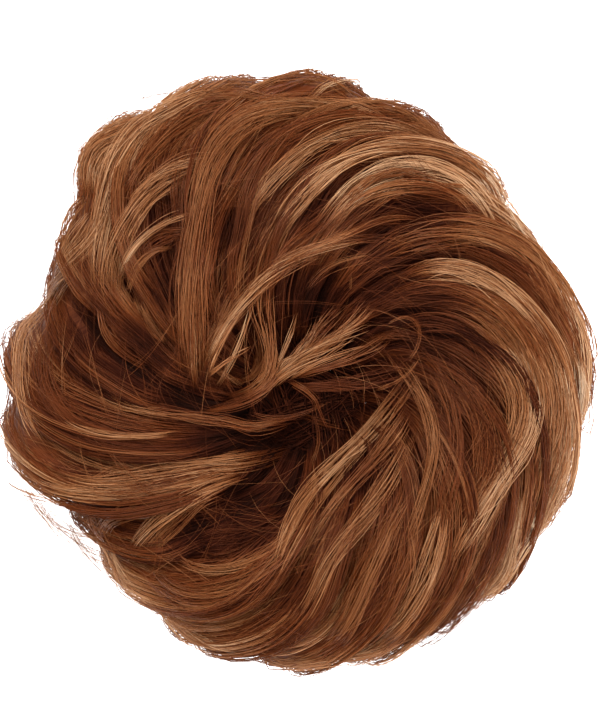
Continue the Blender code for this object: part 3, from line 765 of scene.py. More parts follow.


# Strands that lie over the locks, each along a route from the photograph, given in its
# pixels, with how light it is, its width in pixels, and how high it lies in millimetres
topLook = {
    "fibresPerPixel": 2.2,
    "points": 17,
    "fibreRadius": 0.080,
    "twist": 0.3,
    "crossing": 0.6,
    "wander": 1.3,
    "wanderScale": 3.0,
    "raggedStart": 0.30,
    "raggedEnd": 0.30,
    "toneSpread": 0.12,
    "fibres": 1,
    "endDip": 4.6,
    "shadedStartTone": 0.44,  # painted shade: the tone a strand fades up from where it comes out from below
    "endShade": 0.16,
    "farthestIn": 5.0,
    "fadeIn": 0.24,
    "fadeOut": 0.80,
    "roll": 0.5,
    "uneven": 0.15,
    "fan": 0.0,
    "tipDip": 4.6,
    "step": 2.0,
}
# A row's lightness is partly the strand's own colour, partly painted light on the rim rows and
# painted shade on the dark rows over the hole and the hollows
topStrands = {
    "top_strands_left": {
        "lobe_fill": (0.62, 30, -2.2, [
            (104, 214), (92, 188), (89, 160), (96, 136), (112, 120), (134, 114), (160, 118)]),
        "lobe_edge": (0.80, 22, 0.2, [
            (97, 202), (86, 180), (83, 155), (89, 130), (104, 113), (122, 107), (140, 112)]),
        "lobe_inside": (0.68, 34, 0.0, [
            (103, 210), (96, 178), (99, 148), (112, 124), (132, 112), (156, 108)]),
        "bright_left": (0.73, 30, 2.6, [
            (104, 318), (99, 285), (101, 250), (107, 212), (120, 172), (142, 134), (172, 107),
            (206, 94), (240, 91)]),
        "beside_bright": (0.68, 24, 2.8, [
            (120, 316), (113, 288), (116, 256), (129, 222), (149, 192), (176, 171), (206, 160),
            (236, 162)]),
        "upper_wave": (0.70, 9, 3.2, [(124, 214), (138, 191), (158, 175), (184, 165), (212, 164)]),
        "arch_light": (0.76, 8, 4.0, [
            (116, 292), (123, 264), (139, 241), (160, 225), (184, 214), (204, 210)]),
        "arch_inner": (0.64, 7, 3.4, [(126, 304), (133, 276), (146, 256), (164, 246), (182, 250)]),
        "arch_under": (0.50, 18, 0.6, [(128, 296), (138, 262), (160, 240), (182, 232), (206, 236)]),
        "upper_left_fall": (0.52, 20, 1.6, [
            (116, 226), (132, 184), (158, 146), (190, 118), (226, 104), (262, 102)]),
        "left_valley": (0.54, 18, -0.6, [(44, 314), (49, 294), (55, 275), (64, 256), (76, 238)]),
        "low_left_valley": (0.54, 18, -0.6, [(82, 500), (95, 515), (106, 530), (118, 550)]),
        "left_fan_low": (0.72, 15, 3.2, [(50, 282), (66, 256), (84, 230), (97, 204)]),
        "left_fan_edge": (0.66, 12, 2.4, [(51, 274), (57, 246), (66, 222), (80, 201), (92, 190)]),
        "left_fan_cross": (0.74, 12, 3.8, [
            (40, 292), (64, 272), (86, 248), (102, 222), (112, 196)]),
        "shoulder_left": (0.72, 14, 3.6, [
            (116, 264), (86, 268), (56, 282), (34, 306), (22, 338), (21, 382), (32, 424),
            (58, 460)]),
        "left_rim": (0.50, 16, 0.6, [
            (28, 318), (10, 348), (4, 384), (8, 420), (24, 452), (50, 478)]),
        "left_hollow_arc": (0.40, 26, 0.6, [
            (84, 296), (56, 318), (42, 352), (48, 388), (74, 416), (112, 430), (160, 438),
            (212, 440)]),
        "left_arc_inside": (0.44, 18, 1.0, [
            (240, 424), (192, 418), (146, 412), (106, 402), (76, 384), (60, 356), (64, 326)]),
        "left_bright_arc": (0.66, 11, 2.4, [
            (322, 438), (278, 434), (226, 420), (176, 414), (130, 407), (92, 392), (66, 368)]),
        "left_low_arc": (0.64, 24, 1.6, [
            (286, 448), (242, 458), (192, 464), (142, 470), (94, 462), (56, 444), (34, 420)]),
        "left_light_line": (0.70, 7, 2.8, [
            (48, 408), (70, 424), (104, 434), (146, 436), (190, 430)]),
        "left_sweep_low": (0.66, 20, 1.8, [
            (300, 446), (252, 462), (204, 468), (156, 478), (110, 484), (68, 478), (36, 462)]),
        "left_foot": (0.70, 16, 1.0, [
            (246, 470), (198, 480), (150, 490), (104, 494), (58, 490), (20, 478)]),
        "pinch_outer": (0.62, 9, 2.2, [(132, 286), (140, 304), (152, 328), (170, 350)]),
        "pinch_inner": (0.60, 9, 1.6, [(100, 292), (101, 322), (114, 344), (136, 362), (160, 372)]),
        "pinch_line": (0.66, 5, 2.6, [(140, 290), (146, 314), (160, 336), (174, 352)]),
    },
    "top_strands_top": {
        "pinch_tall": (0.60, 26, 3.0, [
            (193, 396), (191, 368), (192, 336), (190, 300), (193, 256), (199, 212), (208, 168),
            (228, 134), (262, 113), (304, 105), (344, 104), (380, 116)]),
        "pinch_left": (0.50, 18, 2.0, [
            (190, 380), (186, 344), (182, 304), (184, 262), (190, 222), (198, 186)]),
        "pinch_right": (0.48, 14, 1.4, [
            (202, 330), (204, 292), (210, 250), (222, 206), (242, 166), (272, 134)]),
        "top_rim": (0.62, 12, 0.8, [
            (196, 98), (224, 81), (256, 73), (292, 72), (324, 78), (348, 92), (368, 106)]),
        "top_valley": (0.58, 12, -0.6, [(326, 78), (346, 86), (362, 97), (380, 106)]),
        "upper_right_valley": (0.58, 13, -0.6, [(418, 110), (434, 123), (446, 137), (462, 151)]),
        "top_rim_inside": (0.62, 10, 2.0, [
            (176, 108), (206, 96), (240, 94), (274, 102), (306, 106)]),
        "top_golden": (0.66, 18, 2.2, [
            (206, 150), (230, 126), (264, 110), (306, 104), (346, 106), (384, 120), (412, 138)]),
        "top_low_arc": (0.50, 22, 1.4, [
            (216, 270), (228, 226), (250, 182), (280, 148), (318, 126), (360, 118), (400, 128),
            (432, 142)]),
        "top_bright": (0.70, 18, 2.2, [
            (234, 244), (250, 212), (274, 180), (304, 152), (340, 134), (380, 128), (418, 136),
            (448, 150)]),
        "crown_bright": (0.76, 18, 2.4, [
            (262, 262), (280, 226), (304, 192), (332, 168), (364, 152), (402, 146), (438, 150)]),
        "crown_under": (0.50, 20, 1.0, [
            (246, 282), (262, 236), (288, 198), (318, 172), (352, 152)]),
        "crown_deep": (0.42, 16, 0.4, [(280, 262), (304, 228), (330, 206), (358, 196), (392, 196)]),
        "arch_golden": (0.82, 24, 2.6, [
            (306, 250), (326, 222), (349, 196), (376, 178), (408, 168), (442, 172), (472, 190),
            (494, 218), (508, 246)]),
        "arch_root": (0.50, 16, 1.6, [(258, 300), (276, 270), (298, 246), (324, 222), (350, 200)]),
        "arch_lower": (0.66, 12, 2.2, [
            (316, 244), (342, 214), (372, 194), (408, 186), (444, 190), (472, 208), (488, 232)]),
        "hollow_lid": (0.62, 9, 3.0, [
            (262, 282), (286, 262), (318, 246), (348, 234), (374, 222), (402, 217), (434, 222)]),
        "upper_right_lobe": (0.62, 14, 1.0, [
            (366, 108), (392, 104), (416, 110), (434, 126), (452, 142)]),
        "upper_right_cross": (0.64, 16, 1.8, [
            (360, 122), (392, 124), (424, 136), (456, 150), (484, 170), (504, 196)]),
        "upper_right_lines": (0.64, 9, 2.6, [
            (336, 160), (372, 152), (412, 148), (450, 154), (480, 172), (502, 200), (514, 232)]),
        "golden_rim_top": (0.92, 16, 1.2, [
            (438, 134), (468, 154), (496, 180), (514, 206), (527, 236), (534, 256)]),
    },
    "top_strands_right": {
        "right_wide": (0.63, 28, 1.6, [
            (366, 266), (390, 246), (428, 233), (470, 230), (510, 242), (542, 268), (562, 306),
            (574, 350)]),
        "right_golden": (0.75, 22, 2.4, [
            (388, 292), (410, 274), (444, 268), (482, 276), (516, 298), (544, 328), (562, 366),
            (570, 404)]),
        "right_golden_under": (0.56, 16, 1.4, [
            (392, 300), (426, 286), (464, 292), (500, 312), (528, 344), (544, 384), (546, 420)]),
        "right_rim_high": (0.84, 15, 1.0, [
            (536, 256), (558, 282), (574, 318), (584, 358), (590, 396), (588, 430)]),
        "right_between": (0.66, 16, 2.6, [
            (506, 318), (527, 348), (542, 388), (547, 430), (543, 472), (532, 512)]),
        "hollow_right_lines": (0.46, 14, -1.0, [
            (388, 336), (416, 324), (446, 324), (474, 336), (498, 358), (512, 388)]),
        "hollow_right_fine": (0.58, 4, 1.6, [
            (396, 322), (424, 312), (454, 316), (482, 332), (504, 356)]),
        "right_rim_low": (0.92, 16, 1.4, [
            (566, 330), (582, 370), (588, 410), (582, 448), (572, 482), (558, 514), (544, 536)]),
        "right_rim_inside": (0.84, 20, 1.6, [
            (540, 320), (556, 362), (564, 404), (562, 446), (554, 484), (544, 516)]),
        "right_inner_arc": (0.60, 24, 1.0, [
            (404, 306), (444, 304), (482, 318), (512, 344), (530, 380), (538, 418), (534, 460),
            (522, 500)]),
        "right_between_low": (0.66, 28, 1.4, [
            (516, 318), (541, 356), (554, 398), (554, 440), (546, 480), (534, 514), (520, 542)]),
        "right_beside_hook": (0.64, 16, 1.8, [
            (466, 318), (498, 338), (520, 366), (535, 400), (541, 434), (541, 470), (534, 504),
            (522, 532)]),
        "right_hook": (0.80, 14, 3.4, [
            (462, 316), (492, 332), (516, 354), (531, 382), (535, 410), (528, 438), (512, 464),
            (494, 492), (478, 520), (460, 548), (440, 574)]),
        "right_hook_wide": (0.68, 18, 1.6, [
            (452, 326), (482, 344), (506, 368), (519, 398), (516, 430), (502, 462), (484, 494),
            (468, 524), (452, 556), (436, 588)]),
        "middle_curl": (0.62, 14, 2.6, [
            (378, 338), (400, 362), (420, 392), (433, 424), (434, 460), (424, 498), (412, 534),
            (402, 570)]),
        "middle_curl_side": (0.50, 14, 1.6, [
            (398, 336), (426, 360), (446, 392), (456, 430), (454, 470), (444, 510), (432, 550)]),
        "middle_wide": (0.52, 24, 1.0, [
            (432, 352), (460, 382), (480, 416), (488, 454), (482, 494), (468, 532), (448, 568)]),
        "right_low_lines": (0.72, 15, 1.6, [
            (504, 430), (508, 466), (498, 500), (482, 532), (468, 562), (455, 590), (434, 616)]),
        "pale_right": (0.97, 8, 1.6, [(545, 486), (541, 504), (533, 522), (524, 538)]),
        "pale_low_right": (0.97, 8, 1.6, [(497, 548), (492, 566), (484, 586), (474, 602)]),
        "right_low_edge": (0.90, 15, 1.4, [
            (560, 498), (548, 524), (530, 544), (522, 562), (514, 582), (498, 598), (474, 606)]),
        "right_low_inside": (0.80, 14, 1.4, [
            (524, 470), (518, 502), (514, 530), (508, 558), (502, 582), (488, 600), (464, 612)]),
    },
    "top_strands_bottom": {
        "bottom_bright": (0.72, 20, 2.4, [
            (424, 352), (417, 368), (405, 386), (389, 408), (368, 434), (346, 456), (322, 482),
            (302, 510), (288, 540), (276, 572), (262, 604)]),
        "bottom_bright_side": (0.62, 16, 1.8, [
            (424, 380), (414, 400), (401, 424), (384, 450), (362, 474), (340, 500), (320, 530),
            (306, 560), (296, 590)]),
        "bottom_second": (0.66, 16, 2.4, [
            (422, 406), (414, 430), (403, 454), (388, 482), (368, 512), (346, 538), (326, 566),
            (314, 596), (300, 622), (282, 642)]),
        "bottom_third": (0.54, 20, 1.2, [
            (418, 458), (404, 496), (388, 532), (370, 566), (354, 600), (338, 630), (316, 652)]),
        "bottom_fourth": (0.62, 14, 2.2, [
            (400, 500), (386, 540), (372, 572), (360, 604), (346, 634), (326, 654)]),
        "bottom_right_wide": (0.70, 20, 1.8, [
            (446, 486), (440, 528), (430, 568), (414, 602), (396, 630), (372, 650)]),
        "bottom_right_dark": (0.54, 20, 0.8, [
            (426, 484), (418, 524), (406, 562), (392, 598), (374, 628), (350, 650)]),
        "bottom_light_line": (0.72, 8, 3.0, [
            (448, 508), (440, 542), (434, 574), (420, 604), (402, 630)]),
        "foot_rim": (0.72, 14, 1.0, [
            (216, 652), (256, 662), (298, 667), (340, 664), (376, 653), (400, 638), (430, 630),
            (460, 612)]),
        "foot_inside": (0.68, 15, 1.6, [
            (236, 636), (270, 646), (306, 640), (330, 620), (344, 592), (356, 562)]),
        "hole_floor": (0.22, 36, -1.5, [
            (226, 424), (250, 430), (276, 436), (304, 440), (332, 440)]),
        "lower_left_edge": (0.76, 14, 1.2, [
            (120, 562), (130, 596), (154, 622), (186, 640), (218, 654), (252, 662)]),
        "lower_left_rim": (0.76, 12, 1.4, [
            (92, 506), (99, 536), (115, 558), (123, 586), (142, 610)]),
        "bowl_top": (0.66, 11, 2.4, [
            (162, 542), (176, 558), (202, 570), (234, 568), (264, 556), (290, 534), (312, 506)]),
        "bowl_middle": (0.54, 20, 1.4, [
            (142, 556), (158, 582), (188, 596), (222, 592), (256, 576), (286, 548), (310, 518)]),
        "bowl_low": (0.64, 16, 1.6, [
            (128, 568), (140, 596), (168, 616), (204, 624), (240, 616), (270, 594), (296, 562)]),
        "lower_left_out": (0.70, 18, 2.0, [
            (262, 470), (222, 482), (186, 498), (156, 520), (134, 544), (124, 570)]),
        "lower_left_over": (0.64, 16, 1.2, [
            (240, 484), (200, 500), (170, 526), (150, 548), (138, 570)]),
        "lower_left_lines": (0.60, 16, 1.4, [
            (196, 494), (160, 504), (126, 512), (100, 524), (100, 544)]),
        "bottom_hollow_floor": (0.34, 30, 0.0, [
            (286, 500), (262, 520), (236, 532), (212, 540), (190, 548)]),
    },
}


def picturePlace(x, y):
    return Vector(((x - picture["middleX"]) * picture["pixel"],
                   (picture["middleY"] - y) * picture["pixel"]))


# Moves a spot towards the camera's axis as far as its height makes it seem further out
def seenAt(spot, height):
    axis = Vector(camera["lookAt"])
    nearer = (camera["height"] - height) / (camera["height"] - camera["rimHeight"])
    return axis + (spot - axis) * nearer


# The height of the frame's own solids under a point, in millimetres
def frameTops():
    points, faces = [], []
    for name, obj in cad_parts.items():
        if name.startswith(("lock_", "tuft_")):
            first = len(points)
            points += [obj.matrix_world @ v.co for v in obj.data.vertices]
            faces += [[first + i for i in face.vertices] for face in obj.data.polygons]
    return BVHTree.FromPolygons(points, faces)


tops = frameTops()


def topHeight(x, y):
    hit = tops.ray_cast(Vector((x * mm, y * mm, 1.0)), Vector((0, 0, -1)))[0]
    return hit.z / mm if hit else None


# Spots at even steps along a smooth line through the route
def evenSpots(route, step):
    xs, ys = (smoothRun(list(run), 12) for run in zip(*route))
    line = [Vector((x, y)) for x, y in zip(xs, ys)]
    lengths = [0.0]
    for a, b in zip(line, line[1:]):
        lengths.append(lengths[-1] + (b - a).length)
    count = max(int(lengths[-1] / step), 6)
    spots, k = [], 0
    for i in range(count + 1):
        goal = lengths[-1] * i / count
        while k < len(line) - 2 and lengths[k + 1] < goal:
            k += 1
        spots.append(line[k].lerp(line[k + 1], (goal - lengths[k]) / (lengths[k + 1] - lengths[k])))
    return spots


# Heights over the frame along the spots, evened out, so that dips are bridged
drape = {"unknown": 22.0, "lowest": 14.0, "mean": 0.6, "highest": 0.4}


def drapedHeights(spots, reach=3):
    found = [topHeight(spot.x, spot.y) for spot in spots]
    known = [h for h in found if h is not None] or [drape["unknown"]]
    heights = []
    for i, h in enumerate(found):
        if h is None:
            near = [found[k] for k in range(max(i - 2, 0), min(i + 3, len(found)))
                    if found[k] is not None]
            h = near[0] if near else min(known)
        heights.append(max(h, drape["lowest"]))
    evened = []
    for i in range(len(heights)):
        near = heights[max(i - reach, 0):i + reach + 1]
        evened.append(drape["mean"] * sum(near) / len(near) + drape["highest"] * max(near))
    return [sum(evened[max(i - 2, 0):i + 3]) / len(evened[max(i - 2, 0):i + 3])
            for i in range(len(evened))]


# Draws a spot in from beyond the frame's rim, so that no slit is left behind a strand
def keptInside(spot, margin, farthest):
    away = (spot - Vector((ring["holeX"], ring["holeY"]))).normalized()
    moved = 0.0
    while moved < farthest:
        edge = spot + away * (margin - moved)
        if topHeight(edge.x, edge.y) is not None:
            break
        moved += 0.3
    return spot - away * moved


def topGuide(row, dice, look=topLook):
    tone, width, lift, route = row
    spots = evenSpots([picturePlace(x, y) for x, y in route], look["step"])
    spots = [seenAt(spot, height) for spot, height in zip(spots, drapedHeights(spots))]
    margin = 0.45 * width * picture["pixel"] + 0.2
    drawn = [keptInside(spot, margin, look["farthestIn"]) for spot in spots]
    spots = [sum(drawn[max(k - 2, 0):k + 3], Vector((0, 0))) / len(drawn[max(k - 2, 0):k + 3])
             for k in range(len(drawn))]
    heights = drapedHeights(spots)
    last = len(spots) - 1
    phase = dice.uniform(0, fullTurn)
    points, wide, thick, tones = [], [], [], []
    for k, (spot, height) in enumerate(zip(spots, heights)):
        along = k / last
        start = 1 - smoothStep(0.0, look["fadeIn"], along)
        tip = smoothStep(look["fadeOut"], 1.0, along)
        middle = math.sin(math.pi * along)
        rise = lift + look["roll"] * math.sin(phase + 7 * along) * middle
        rise -= look["endDip"] * start + look["tipDip"] * tip
        points.append(Vector((spot.x, spot.y, height + rise)))
        half = 0.5 * width * picture["pixel"] * (0.30 + 0.82 * math.sqrt(middle))
        half *= 1 + look["fan"] * (along - 0.5)
        wide.append(half * (1 + look["uneven"] * math.sin(phase + 11 * along)))
        thick.append(0.5 + 0.22 * half)
        # painted shade where a strand comes out from below, at its tip and over hollows
        hollow = hollowAt(points[-1])
        low = look["shadedStartTone"] - (hollowLook["paintedShade"] - hollowLook["paintedShadeOnTop"]) * hollow
        shade = max(tone - low, 0.0) * start + look["endShade"] * tip
        shade += hollowLook["paintedShadeOnTop"] * hollow
        tones.append(tone - shade)
    return flatGuide(points, wide, thick, tones, max(width * look["fibresPerPixel"], 6.0))


for number, (name, rows) in enumerate(topStrands.items()):
    dice = random.Random(200 + number)
    piece = grow(name, [topGuide(row, dice) for row in rows.values()], topLook, 120 + number)
    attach(piece, "root")
    print(name, triangleCount(piece), "triangles")

# The short locks over the hole, in the same way, each in place of the frame's own solid
tuftLook = {**topLook, "fibresPerPixel": 2.4, "points": 17, "wander": 1.4, "crossing": 1.1,
            "raggedStart": 0.16, "raggedEnd": 0.50, "toneSpread": 0.18, "fan": 1.2, "tipDip": 1.8,
            "shadedStartTone": 0.40, "endShade": 0.34}
tufts = {
    "tuft_fan": {
        "long": (0.66, 13, 1.0, [
            (199, 394), (203, 370), (214, 344), (230, 318), (250, 293), (274, 270), (302, 254),
            (336, 244), (366, 238), (396, 236)]),
        "bright": (0.74, 10, 1.8, [
            (203, 378), (213, 350), (230, 322), (249, 298), (272, 276), (298, 258)]),
        "inner": (0.54, 16, 0.4, [
            (202, 384), (210, 346), (221, 310), (238, 274), (256, 238), (276, 206)]),
        "thin": (0.60, 7, 1.4, [(208, 362), (222, 372), (236, 384), (250, 392)]),
        "fine_left": (0.70, 5, 2.2, [(206, 388), (214, 360), (228, 332), (244, 306), (256, 284)]),
        "fine_right": (0.76, 5, 2.4, [(210, 396), (226, 372), (240, 344), (250, 314), (258, 290)]),
        "fine_low": (0.66, 4, 2.0, [(200, 384), (218, 366), (240, 352), (262, 342)]),
    },
    "tuft_spike": {
        "middle": (0.66, 12, 1.0, [
            (196, 404), (194, 380), (191, 350), (187, 314), (186, 276), (189, 236)]),
        "side": (0.56, 10, 0.6, [(201, 390), (200, 360), (200, 326), (202, 288), (206, 250)]),
    },
    "tuft_loop": {
        "outer": (0.62, 14, 1.4, [
            (208, 404), (234, 399), (256, 389), (269, 370), (270, 346), (263, 320), (258, 294),
            (264, 266)]),
        "inner": (0.56, 12, 0.6, [
            (220, 386), (238, 384), (252, 374), (258, 354), (256, 330), (252, 304)]),
        "low": (0.58, 9, 1.4, [
            (186, 414), (214, 410), (244, 402), (266, 390), (280, 372), (290, 350), (300, 330)]),
    },
    "tuft_sweep": {
        "wide": (0.50, 18, 0.4, [
            (272, 388), (288, 366), (306, 346), (324, 328), (340, 310), (356, 292)]),
        "bright": (0.69, 15, 1.8, [
            (262, 394), (280, 376), (300, 360), (324, 346), (350, 332), (378, 316)]),
        "hook": (0.62, 11, 1.4, [
            (284, 372), (306, 354), (332, 338), (354, 322), (368, 306), (378, 290)]),
        "low": (0.50, 10, 0.8, [(284, 380), (314, 370), (344, 362), (372, 348), (396, 330)]),
        "fine_up": (0.74, 5, 2.2, [(272, 382), (288, 356), (308, 330), (328, 302)]),
        "fine_middle": (0.66, 5, 2.2, [(276, 384), (298, 352), (322, 322), (346, 294)]),
        "fine_steep": (0.72, 5, 2.4, [(272, 378), (284, 352), (294, 326), (300, 300)]),
        "fine_flat": (0.64, 4, 2.2, [(280, 386), (310, 366), (344, 352), (380, 342)]),
    },
    "tuft_wisp": {
        "drop": (0.52, 6, 1.6, [(280, 378), (304, 388), (322, 404), (332, 426), (338, 448)]),
        "across": (0.38, 14, 0.4, [(284, 386), (320, 386), (356, 384), (390, 376), (420, 366)]),
        "strand": (0.56, 5, 1.8, [(240, 420), (276, 432), (312, 438), (346, 434), (372, 424)]),
    },
}

for number, (name, rows) in enumerate(tufts.items()):
    dice = random.Random(400 + number)
    piece = grow("hair_" + name, [topGuide(row, dice, tuftLook) for row in rows.values()],
                 tuftLook, 80 + number)
    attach(piece, "root")
    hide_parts(name)
print("tuft:", len(tufts), "pieces")

# Fine hairs that have worked loose: wisps along routes of their own, and strays that cross
# the flow at any angle
wispLook = {**topLook, "fibresPerPixel": 1.9, "points": 13, "fibreRadius": 0.048, "wander": 2.2,
            "wanderScale": 2.0, "crossing": 1.0, "raggedStart": 0.12, "raggedEnd": 0.15,
            "endDip": 0.5, "tipDip": 0.5, "shadedStartTone": 0.60, "endShade": 0.05, "farthestIn": 0.0}
wisps = {
    "left_tail": (0.72, 10, 0.5, [
        (0, 420), (5, 446), (16, 468), (38, 484), (70, 492), (108, 496), (146, 496)]),
    "left_tail_low": (0.70, 7, 0.5, [(0, 468), (14, 484), (40, 494), (72, 502), (96, 508)]),
    "lower_left_fringe": (0.70, 11, 0.5, [(20, 474), (33, 500), (58, 524), (90, 538), (124, 542)]),
    "lower_left_fringe_far": (0.72, 10, 0.5, [
        (26, 480), (42, 514), (70, 544), (104, 560), (140, 566)]),
    "lower_left_fringe_low": (0.70, 7, 0.5, [
        (64, 506), (76, 536), (94, 562), (120, 584), (150, 596)]),
    "top_fringe": (0.60, 5, 0.5, [(128, 102), (152, 94), (182, 88), (206, 80)]),
    "upper_right_fringe": (0.60, 4, 0.5, [(366, 104), (382, 97), (398, 96), (416, 102)]),
    "left_fringe": (0.60, 5, 0.5, [(98, 200), (84, 182), (80, 154), (86, 130)]),
    "right_fringe": (0.80, 5, 0.5, [(592, 380), (594, 404), (590, 432), (580, 458)]),
    "cross_over_hollow": (0.62, 4, 2.5, [(300, 300), (322, 270), (352, 258), (384, 252)]),
    "cross_down": (0.60, 3, 2.5, [(344, 248), (352, 272), (350, 296), (340, 318)]),
    "cross_right": (0.60, 4, 3.0, [(420, 350), (414, 368), (392, 384), (366, 392)]),
    "ring_right": (0.60, 3, 3.0, [(380, 330), (404, 312), (420, 322), (420, 346), (400, 370)]),
    "cross_below": (0.58, 5, 2.0, [(240, 408), (276, 420), (308, 412), (336, 400)]),
    "down_from_hole": (0.58, 4, 2.0, [(308, 404), (318, 424), (318, 450), (306, 474)]),
}
strayLook = {**wispLook, "strays": 500, "fibres": 2, "points": 10, "fibreRadius": 0.045,
             "wander": 1.2, "wanderScale": 1.4, "lengths": (17.0, 42.0), "turn": 0.5, "bend": 1.5,
             "lift": (0.8, 3.2), "tones": (0.36, 0.65), "shadeInHollows": 0.14, "step": 2.5,
             "toneSpread": 0.1, "farthest": 70.0, "nearest": 0.04, "crowding": 0.7, "bends": 8,
             "heading": (35, 0.7), "spread": (0.8, 0.5), "densities": (0.5, 0.5, 0.5, 1.0)}


def strayGuide(dice):
    turn = dice.uniform(0, 2 * math.pi)
    away = strayLook["farthest"]
    away *= dice.uniform(strayLook["nearest"], 1.0) ** strayLook["crowding"]
    place = Vector((ring["holeX"] + away * math.cos(turn), ring["holeY"] + away * math.sin(turn)))
    offset = dice.gauss(0, strayLook["turn"])
    length = dice.uniform(*strayLook["lengths"])
    bend = dice.uniform(-1, 1) * strayLook["bend"]
    bends, (heading, morePerMm) = strayLook["bends"], strayLook["heading"]
    route = []
    for k in range(bends + 1):
        route.append(tuple(place))
        away = place - Vector((ring["holeX"], ring["holeY"]))
        angle = math.atan2(away.y, away.x) - math.radians(heading + morePerMm * away.length)
        angle += offset + bend * (k / bends - 0.5)
        place = place + Vector((math.cos(angle), math.sin(angle))) * length / bends
    spots = evenSpots(route, strayLook["step"])
    while len(spots) > 4 and topHeight(spots[-1].x, spots[-1].y) is None:
        spots.pop()
    lift, last = dice.uniform(*strayLook["lift"]), len(spots) - 1
    points = []
    for k, (spot, height) in enumerate(zip(spots, drapedHeights(spots, 7))):
        rise = 0.3 + lift * math.sin(math.pi * k / last)
        points.append(Vector((spot.x, spot.y, height + rise)))
    count = len(points)
    tone = dice.uniform(*strayLook["tones"])
    tones = [tone - strayLook["shadeInHollows"] * hollowAt(point) for point in points]
    across, out = strayLook["spread"]
    return flatGuide(points, [across] * count, [out] * count, tones,
                     dice.choice(strayLook["densities"]))


dice = random.Random(31)
wispHair = grow("wisps", [topGuide(row, dice, wispLook) for row in wisps.values()], wispLook, 140)
strayHair = grow("stray_hairs", [strayGuide(dice) for i in range(strayLook["strays"])],
                 strayLook, 141)
for piece in (wispHair, strayHair):
    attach(piece, "root")
    print(piece.name, triangleCount(piece), "triangles")

# Loose hair that lies across the inside of the hole, its tone painted dark as the shade in
# there and a little lighter in the higher runs as painted light, so that it looks dark from above
holeLook = {
    "runs": 84,
    "fibres": 20,
    "points": 6,
    "fibreRadius": 0.22,
    "twist": 0.4,
    "crossing": 0.8,
    "wander": 2.0,
    "wanderScale": 2.0,
    "raggedStart": 0.02,
    "raggedEnd": 0.02,
    "toneSpread": 0.16,
    "reach": 19.0,
    "apart": 2.4,
    "shortest": 0.92,  # as the cosine of half the angle between a run's ends
    "golden": 0.618,
    "bulge": 0.18,
    "endRise": 3.0,
    "drop": 3.0,
    "spots": 12,
    "paintedLightOnTop": 0.06,
    "heights": (8.0, 25.0),
    "tones": (0.03, 0.18),
}


def holeGuides(dice):
    lowest, highest = holeLook["heights"]
    guides = []
    for i in range(holeLook["runs"]):
        start = holeLook["apart"] * i + dice.uniform(-0.3, 0.3)
        end = start + 2 * math.acos(holeLook["shortest"] * (holeLook["golden"] * i % 1))
        height = lowest + (highest - lowest) * i / (holeLook["runs"] - 1)
        a, b = (Vector((ring["holeX"] + holeLook["reach"] * math.cos(turn),
                        ring["holeY"] + holeLook["reach"] * math.sin(turn), 0))
                for turn in (start, end))
        bulge = Vector((-(b - a).y, (b - a).x, 0))
        bulge *= dice.uniform(-holeLook["bulge"], holeLook["bulge"])
        spots = []
        for k in range(holeLook["spots"] + 1):
            t = k / holeLook["spots"]
            spot = a.lerp(b, t) + bulge * 4 * t * (1 - t)
            low = height + dice.uniform(-0.3, 0.3)
            spot.z = low + holeLook["endRise"] * (2 * t - 1) ** 2 - holeLook["drop"] * t
            spots.append(spot)
        tone = dice.uniform(*holeLook["tones"]) + holeLook["paintedLightOnTop"] * i / holeLook["runs"]
        count = len(spots)
        guides.append(flatGuide(spots, [3.5] * count, [2.0] * count, [tone] * count, 1.0))
    return guides


holeHair = grow("loose_hair_in_hole", holeGuides(random.Random(33)), holeLook, 95)
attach(holeHair, "root")
print("hair in the hole:", triangleCount(holeHair), "triangles")

# The elastic band keeps the frame's own ring, and gets a woven finish
bandLook = {"thread": 900.0, "dark": (0.018, 0.011, 0.009, 1), "light": (0.075, 0.045, 0.035, 1),
            "bump": 0.5, "threadDepth": 0.0003, "roughness": 0.85}


def makeBandMaterial():
    material = bpy.data.materials.new("wovenElastic")
    material.use_nodes = True
    tree = material.node_tree
    shader = tree.nodes["Principled BSDF"]
    place = addNode(tree, "ShaderNodeTexCoord").outputs["Object"]
    weave = addNode(tree, "ShaderNodeTexWave", {"Vector": place, "Scale": bandLook["thread"] / 6,
                                                "Distortion": 1.5, "Detail": 2.0},
                    wave_type="BANDS", bands_direction="DIAGONAL")
    colour = addNode(tree, "ShaderNodeMix", {0: weave.outputs[1], 6: bandLook["dark"],
                                             7: bandLook["light"]}, data_type="RGBA")
    tree.links.new(colour.outputs[2], shader.inputs["Base Color"])
    bump = addNode(tree, "ShaderNodeBump", {"Height": weave.outputs[1],
                                            "Strength": bandLook["bump"],
                                            "Distance": bandLook["threadDepth"]})
    tree.links.new(bump.outputs[0], shader.inputs["Normal"])
    shader.inputs["Roughness"].default_value = bandLook["roughness"]
    return material


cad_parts["elastic_band"].data.materials.clear()
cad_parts["elastic_band"].data.materials.append(makeBandMaterial())
print("elastic band is finished")

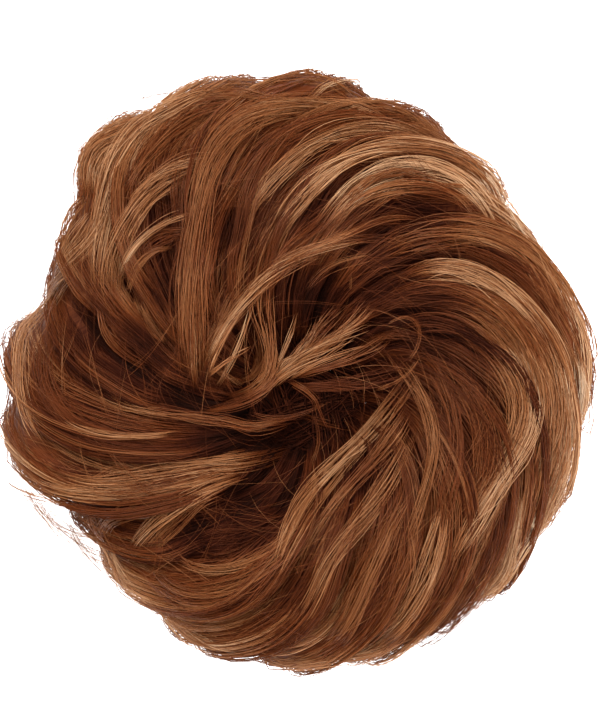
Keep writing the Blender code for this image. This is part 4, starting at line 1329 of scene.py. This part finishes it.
# Floor, light and camera
studio = {
    "floorColour": (0.93, 0.93, 0.93, 1),
    "floorGlow": 1.30,
    "worldStrength": 0.10,
    "keyPower": 17.0,
    "keyPlace": (-0.08, 0.28, 0.90),
    "keySize": 0.80,
    "fillPower": 9.5,
    "fillPlace": (0.60, -0.62, 0.36),
    "fillSize": 0.80,
}


def makeStudio():
    scene = bpy.context.scene
    bm = bmesh.new()
    bmesh.ops.create_grid(bm, x_segments=1, y_segments=1, size=2.0)
    mesh = bpy.data.meshes.new("floor")
    bm.to_mesh(mesh)
    bm.free()
    floor = bpy.data.objects.new("floor", mesh)
    scene.collection.objects.link(floor)
    material = bpy.data.materials.new("paleFloor")
    material.use_nodes = True
    shader = material.node_tree.nodes["Principled BSDF"]
    shader.inputs["Base Color"].default_value = studio["floorColour"]
    shader.inputs["Roughness"].default_value = 0.9
    shader.inputs["Emission Color"].default_value = (1, 1, 1, 1)
    shader.inputs["Emission Strength"].default_value = studio["floorGlow"]
    mesh.materials.append(material)
    world = bpy.data.worlds.new("studioWorld")
    world.use_nodes = True
    world.node_tree.nodes["Background"].inputs[0].default_value = (1, 1, 1, 1)
    world.node_tree.nodes["Background"].inputs[1].default_value = studio["worldStrength"]
    scene.world = world
    for name, power, place, size in (
            ("keyLight", studio["keyPower"], studio["keyPlace"], studio["keySize"]),
            ("fillLight", studio["fillPower"], studio["fillPlace"], studio["fillSize"])):
        data = bpy.data.lights.new(name, "AREA")
        data.energy, data.size = power, size
        lamp = bpy.data.objects.new(name, data)
        lamp.location = place
        lamp.rotation_euler = (-Vector(place)).to_track_quat("-Z", "Y").to_euler()
        scene.collection.objects.link(lamp)
    data = bpy.data.cameras.new("camera")
    data.sensor_width = 36.0
    data.lens = 36.0 * (camera["height"] - camera["rimHeight"]) / camera["pictureHeight"]
    data.clip_start, data.clip_end = 0.01, 20.0
    viewer = bpy.data.objects.new("camera", data)
    viewer.location = Vector((*camera["lookAt"], camera["height"])) * mm
    scene.collection.objects.link(viewer)
    scene.camera = viewer
    scene.view_settings.view_transform = "Standard"


makeStudio()
